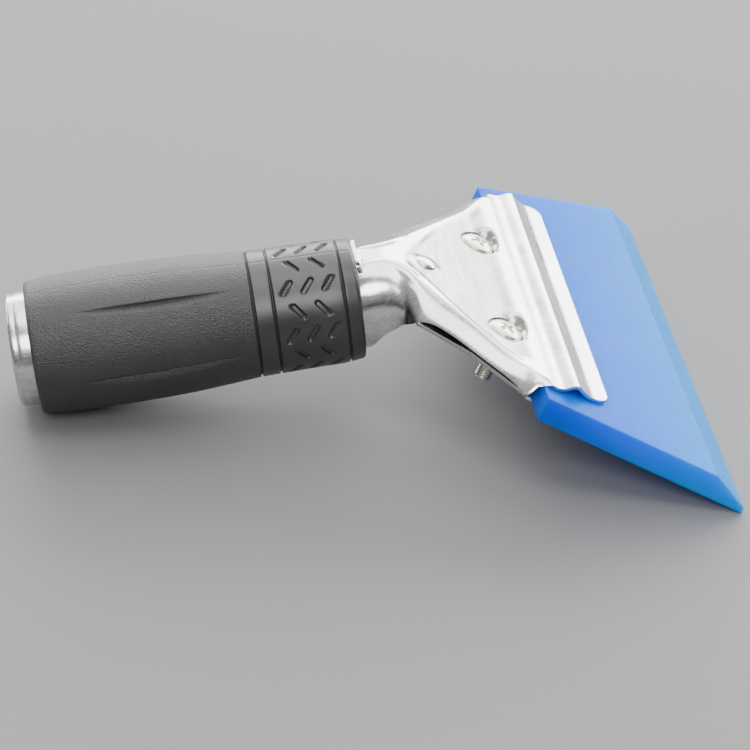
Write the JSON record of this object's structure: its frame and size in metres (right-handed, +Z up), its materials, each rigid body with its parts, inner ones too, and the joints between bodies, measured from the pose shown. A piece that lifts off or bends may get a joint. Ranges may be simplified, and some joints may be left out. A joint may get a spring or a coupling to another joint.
{
  "type": "squeegee applicator",
  "caption": "Hand squeegee: a soft tapered blade clamped in a bent metal head on a short rubber-gripped socket handle.",
  "frame": {"origin": "centre of the footprint box at the surface that the tool rests on, lying on the blade's working edge and the heel of the grip", "axes": "+X towards the blade's working edge, +Y across the tool, +Z up; the blade slopes down 22.8 degrees towards its edge and the handle axis rises 6.4 degrees towards the head"},
  "size_m": [0.1658, 0.127, 0.0388],
  "materials": {
    "urethane": "translucent blue polyurethane, satin top, clear saturated cut ends",
    "stainless": "polished stamped stainless sheet",
    "tube_steel": "drawn tube, satin",
    "ferrule_steel": "bright rolled ring",
    "grip_rubber": "matt moulded rubber, leathery grain at the rear, smooth front",
    "jaw_steel": "stamped stainless sheet",
    "zinc_screw": "zinc plated, faintly yellow",
    "zinc_nut": "zinc plated"
  },
  "bodies": {
    "handle": {"upper_shell": "stainless", "handle_tube": "tube_steel", "butt_ferrule": "ferrule_steel", "rubber_grip": "grip_rubber", "fulcrum_rivet": "stainless"},
    "lower_jaw": {"lower_jaw": "jaw_steel", "clamp_nut_near": "zinc_nut", "clamp_nut_far": "zinc_nut"},
    "blade": {"blade": "urethane"},
    "screw_near": {"clamp_screw_near": "zinc_screw"},
    "screw_far": {"clamp_screw_far": "zinc_screw"}
  },
  "joints": [
    {"name": "jaw_open", "type": "hinge", "parent": "handle", "child": "lower_jaw", "pos_m": [0.01519, 0, 0.02767], "axis": [0, 1, 0], "range_deg": [0, 2.5]},
    {"name": "screw_near_turn", "type": "hinge", "parent": "handle", "child": "screw_near", "pos_m": [0.03445, -0.0198, 0.02704], "axis": [0.3881, 0, 0.9216], "range_deg": [0, 410]},
    {"name": "screw_far_turn", "type": "hinge", "parent": "handle", "child": "screw_far", "pos_m": [0.03445, 0.0198, 0.02704], "axis": [0.3881, 0, 0.9216], "range_deg": [0, 410]},
    {"name": "blade_slide", "type": "slide", "parent": "handle", "child": "blade", "axis": [0.9216, 0, -0.3881], "range_m": [0, 0.025]}
  ],
  "couplings": [
    {"joint": "screw_near_turn", "follows": "jaw_open", "ratio": 161.57},
    {"joint": "screw_far_turn", "follows": "jaw_open", "ratio": 161.57}
  ]
}
